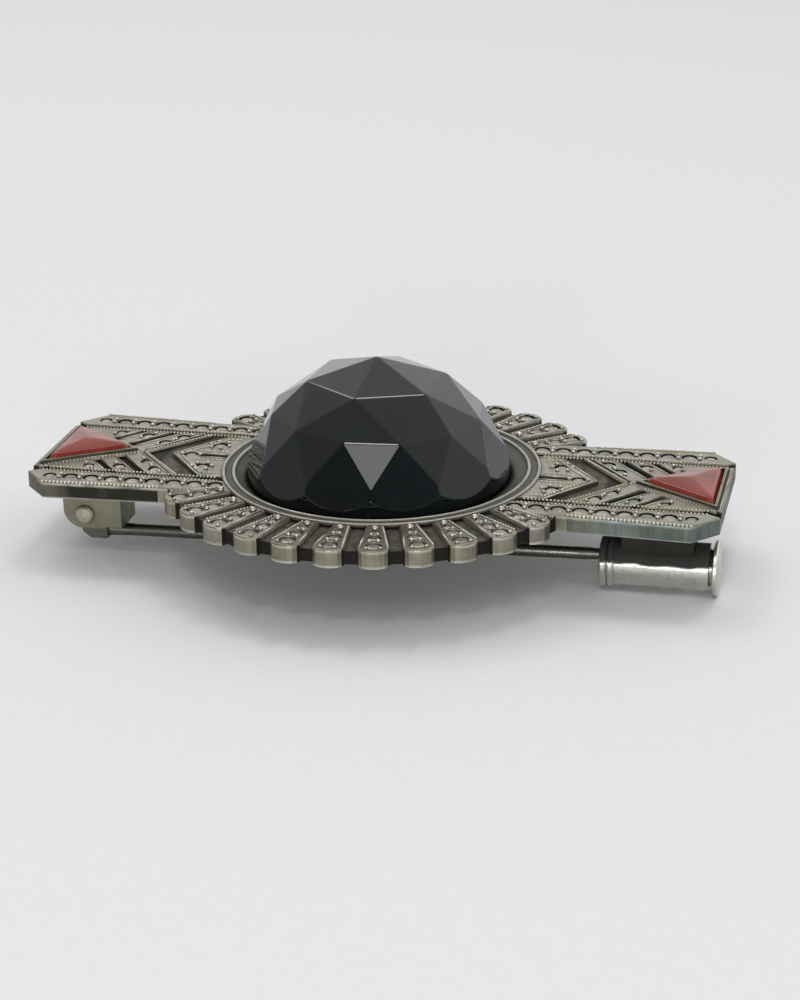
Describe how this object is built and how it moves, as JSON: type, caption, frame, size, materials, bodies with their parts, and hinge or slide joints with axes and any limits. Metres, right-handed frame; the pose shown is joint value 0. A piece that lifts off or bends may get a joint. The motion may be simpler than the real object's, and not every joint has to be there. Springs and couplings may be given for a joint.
{
  "type": "bar brooch",
  "caption": "Oxidised silver bar brooch with a faceted black dome, two triangular cabochons, marcasite rays, a hinged pin and a pull-out tube catch.",
  "frame": {"origin": "middle of the brooch in plan, at the level of its lowest point, the underside of the thumb disc", "axes": "+Z out of the brooch's face, +X along the bar from the pin hinge to the catch, +Y across the bar"},
  "size_m": [0.056, 0.0362, 0.0165],
  "materials": {
    "oxidised_silver": "cast silver darkened in the recesses, worn bright on the edges",
    "bright_silver": "polished silver with fine scratches",
    "pin_steel": "drawn wire, dull grey",
    "marcasite": "faceted pyrite with a metallic gloss",
    "black_stone": "polished facets",
    "carnelian": "polished, slightly translucent red-brown"
  },
  "bodies": {
    "brooch": {"face_plate": "oxidised_silver", "marcasites_front_rays": "marcasite", "marcasites_rear_rays": "marcasite", "marcasites_left_border": "marcasite", "marcasites_right_border": "marcasite", "marcasites_left_field": "marcasite", "marcasites_right_field": "marcasite", "centre_bezel": "oxidised_silver", "centre_stone": "black_stone", "left_cabochon": "carnelian", "left_collet": "oxidised_silver", "right_cabochon": "carnelian", "right_collet": "oxidised_silver", "hinge_base": "oxidised_silver", "hinge_bracket": "oxidised_silver", "hinge_rivet": "bright_silver", "catch_base": "oxidised_silver", "catch_tube": "bright_silver", "catch_entry_collar": "bright_silver"},
    "pin": {"pin_knuckle": "pin_steel", "pin_wire": "pin_steel"},
    "sleeve": {"catch_sleeve": "bright_silver", "thumb_disc": "bright_silver"}
  },
  "joints": [
    {"name": "stem_swing", "type": "hinge", "parent": "brooch", "child": "pin", "pos_m": [-0.0234, -0.0044, 0.00358], "axis": [0, 1, 0], "range_deg": [0, 70]},
    {"name": "sleeve_pull", "type": "slide", "parent": "brooch", "child": "sleeve", "axis": [1, 0, 0], "range_m": [0, 0.0068]}
  ]
}
